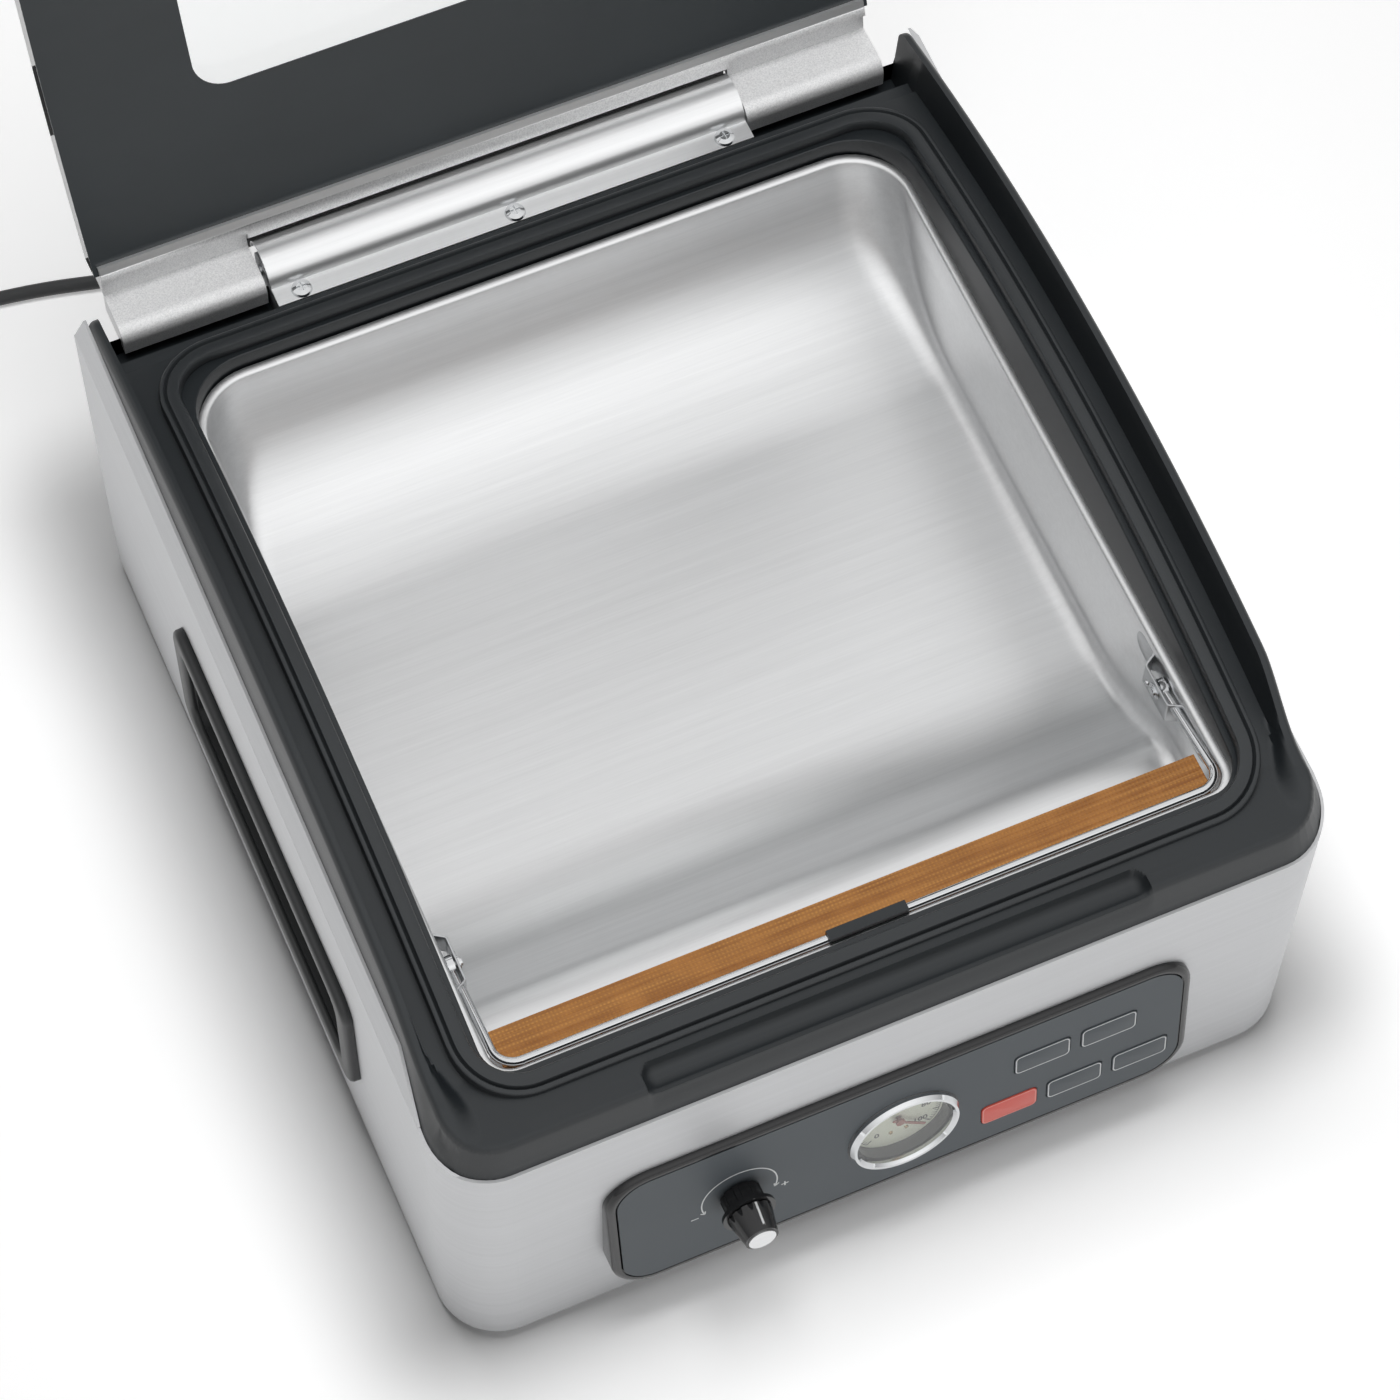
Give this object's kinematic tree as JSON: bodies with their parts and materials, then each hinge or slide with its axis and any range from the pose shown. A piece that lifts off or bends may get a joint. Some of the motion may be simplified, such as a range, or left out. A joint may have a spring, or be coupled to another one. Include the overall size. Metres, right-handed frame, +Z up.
{
  "type": "chamber vacuum sealer",
  "caption": "Table-top chamber vacuum sealer with an arched clear lid hinged open, steel chamber, seal bar with bag bail, round gauge, twin knob and push keys.",
  "frame": {"origin": "centre of the bounding box at the underside of the feet, with the lid open and without cord, coil and plug", "axes": "+X to the right seen from the front, +Y to the back, +Z up"},
  "size_m": [0.5025, 0.681, 0.5633],
  "materials": {
    "brushed_steel": "brushed, satin",
    "inner_steel": "mill finish",
    "dark_plastic": "fine texture",
    "black_plastic": "semi gloss",
    "rubber": "soft, matt",
    "aluminium": "bead blasted and polished",
    "chrome": "mirror",
    "tape": "woven, coated",
    "overlay": "satin",
    "key": "satin",
    "key_red": "satin",
    "clear": "clear, polished edges",
    "glass": "clear",
    "dial": "matt print",
    "needle": "satin",
    "silicone": "soft",
    "iron": "painted",
    "board": "lacquered",
    "copper": "lacquered wire",
    "band": "thin strip"
  },
  "bodies": {
    "case": {"steel_wrap": "brushed_steel", "bottom_plate": "inner_steel", "back_panel": "inner_steel", "feet": "rubber", "deck": "dark_plastic", "seal_ring": "rubber", "chamber_pan": "brushed_steel", "lift_sleeves": "aluminium", "bail_brackets": "inner_steel", "bail_rivets": "chrome", "panel_housing": "dark_plastic", "panel_overlay": "overlay", "key_board": "board", "gauge_case": "black_plastic", "gauge_bezel": "chrome", "gauge_lens": "glass", "gauge_dial": "dial", "knob_bushing": "inner_steel", "handle_left": "black_plastic", "handle_right": "black_plastic", "hinge_bracket": "inner_steel", "hinge_pin": "chrome", "hinge_springs": "inner_steel", "hinge_cover": "chrome", "hinge_screws": "chrome", "pump_motor": "iron", "pump_head": "aluminium", "transformer": "iron", "control_board": "board", "valves": "inner_steel", "hoses": "rubber", "power_socket": "black_plastic", "strain_relief": "rubber", "cord": "rubber", "cord_coil": "rubber", "plug": "black_plastic"},
    "lid": {"lid_panel": "clear", "lid_border": "dark_plastic", "press_holder": "aluminium", "press_strip": "silicone", "lid_rail": "aluminium", "lid_knuckles": "aluminium"},
    "bar": {"seal_bar": "aluminium", "heating_band": "band", "release_tape": "tape", "lift_posts": "chrome"},
    "bail": {"bail_wire": "chrome", "bail_tab": "black_plastic"},
    "time_knob": {"knob_rear": "black_plastic"},
    "seal_knob": {"knob_front": "black_plastic", "knob_cap": "aluminium"},
    "upper_left_key": {"key_upper_left": "key"},
    "upper_right_key": {"key_upper_right": "key"},
    "stop_key": {"key_stop": "key_red"},
    "lower_mid_key": {"key_lower_mid": "key"},
    "lower_right_key": {"key_lower_right": "key"},
    "needle": {"gauge_needle": "needle"},
    "rocker": {"power_rocker": "key_red"},
    "fan": {"pump_fan": "black_plastic"}
  },
  "joints": [
    {"name": "lid_hinge", "type": "hinge", "parent": "case", "child": "lid", "pos_m": [0, 0.17712, 0.1825], "axis": [1, 0, 0], "range_deg": [0, 98], "stiffness_Nm_per_rad": 2.7},
    {"name": "bar_lift", "type": "slide", "parent": "case", "child": "bar", "axis": [0, 0, 1], "range_m": [0, 0.0048]},
    {"name": "bail_pivot", "type": "hinge", "parent": "case", "child": "bail", "pos_m": [0, -0.13738, 0.173], "axis": [1, 0, 0], "range_deg": [-100, 0]},
    {"name": "time_knob_turn", "type": "hinge", "parent": "case", "child": "time_knob", "pos_m": [-0.071, -0.23336, 0.08182], "axis": [0, -0.9925, 0.1219], "range_deg": [-270, 0]},
    {"name": "seal_knob_turn", "type": "hinge", "parent": "case", "child": "seal_knob", "pos_m": [-0.071, -0.23336, 0.08182], "axis": [0, -0.9925, 0.1219], "range_deg": [-200, 70]},
    {"name": "upper_left_press", "type": "slide", "parent": "case", "child": "upper_left_key", "axis": [0, 0.9925, -0.1219], "range_m": [0, 0.001], "stiffness_N_per_m": 700, "springref_m": -0.0005},
    {"name": "upper_right_press", "type": "slide", "parent": "case", "child": "upper_right_key", "axis": [0, 0.9925, -0.1219], "range_m": [0, 0.001], "stiffness_N_per_m": 700, "springref_m": -0.0005},
    {"name": "stop_press", "type": "slide", "parent": "case", "child": "stop_key", "axis": [0, 0.9925, -0.1219], "range_m": [0, 0.001], "stiffness_N_per_m": 700, "springref_m": -0.0005},
    {"name": "lower_mid_press", "type": "slide", "parent": "case", "child": "lower_mid_key", "axis": [0, 0.9925, -0.1219], "range_m": [0, 0.001], "stiffness_N_per_m": 700, "springref_m": -0.0005},
    {"name": "lower_right_press", "type": "slide", "parent": "case", "child": "lower_right_key", "axis": [0, 0.9925, -0.1219], "range_m": [0, 0.001], "stiffness_N_per_m": 700, "springref_m": -0.0005},
    {"name": "needle_turn", "type": "hinge", "parent": "case", "child": "needle", "pos_m": [0, -0.23357, 0.08013], "axis": [0, -0.9925, 0.1219], "range_deg": [0, 240], "stiffness_Nm_per_rad": 0.0005},
    {"name": "rocker_tilt", "type": "hinge", "parent": "case", "child": "rocker", "pos_m": [-0.055, 0.16862, 0.048], "axis": [1, 0, 0], "range_deg": [0, 12]},
    {"name": "fan_spin", "type": "hinge", "parent": "case", "child": "fan", "pos_m": [0, -0.02688, 0.0492], "axis": [1, 0, 0], "continuous": true}
  ]
}
